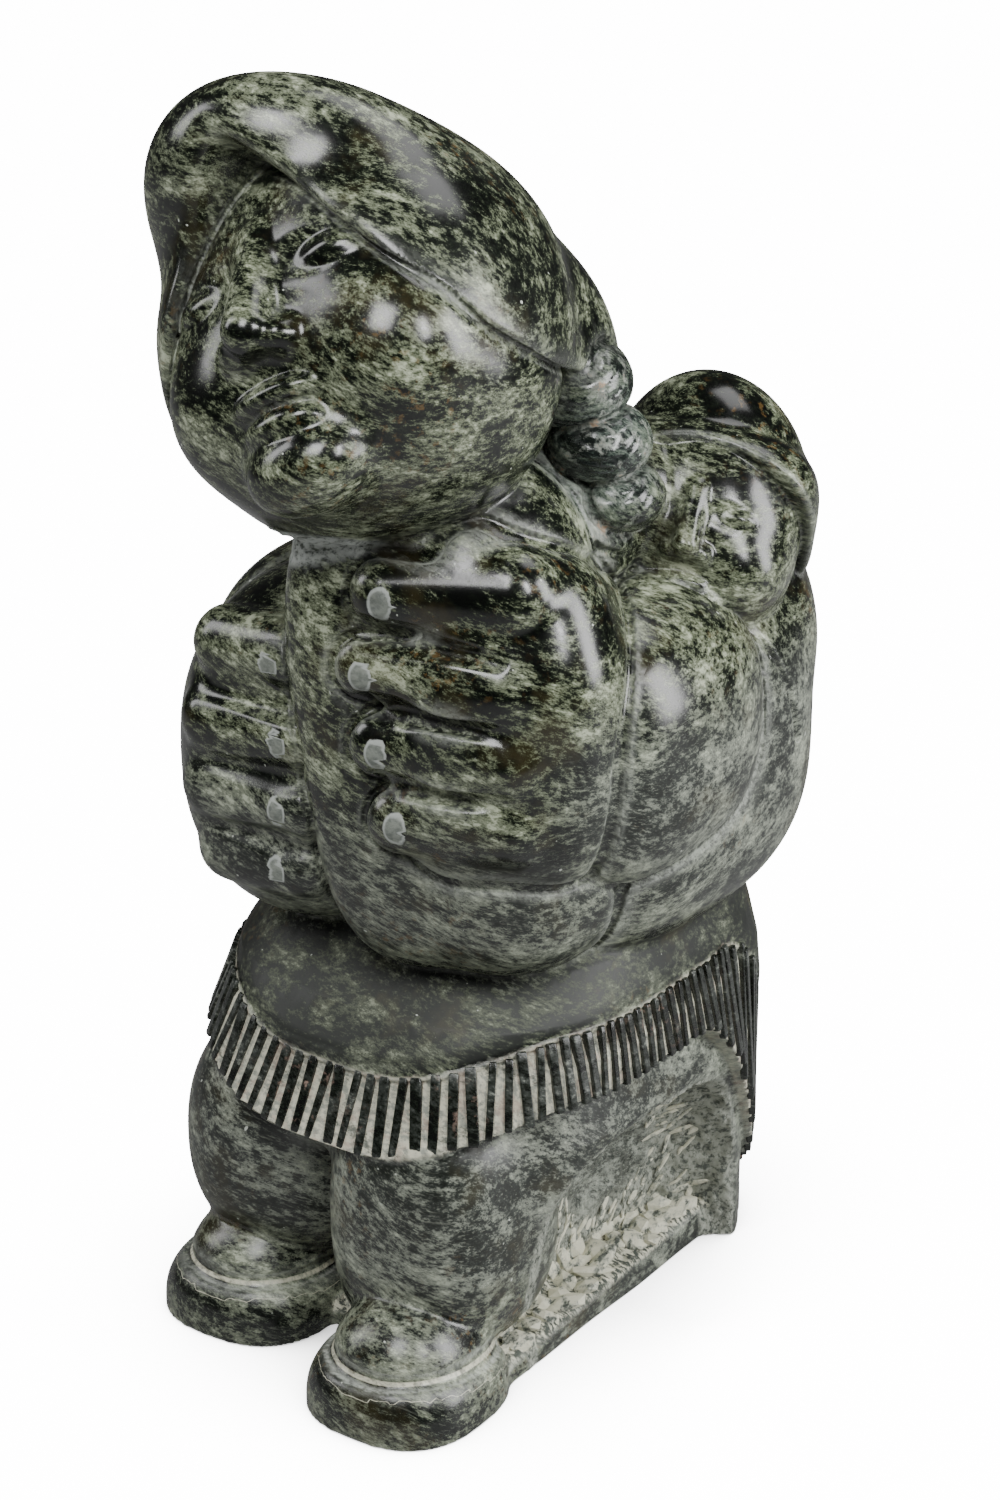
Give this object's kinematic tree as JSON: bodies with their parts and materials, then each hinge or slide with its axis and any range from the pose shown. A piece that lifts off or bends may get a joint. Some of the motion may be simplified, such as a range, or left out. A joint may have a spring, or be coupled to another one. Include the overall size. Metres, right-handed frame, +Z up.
{
  "type": "carved stone figure group",
  "caption": "Standing mother with both hands on her front, her tilted head over a braid, and a child looking out of her hood, carved from one polished dark stone on a rough slab.",
  "frame": {"origin": "on the flat underside, near the middle of the block, where the carving rests", "axes": "+Z up; the mother faces -Y, and her left side, with the child's head, is +X"},
  "size_m": [0.2119, 0.2606, 0.4705],
  "materials": {
    "stone": "polished, with matte chiselled hollows"
  },
  "bodies": {
    "root": {"mother_and_child": "stone"}
  },
  "joints": []
}
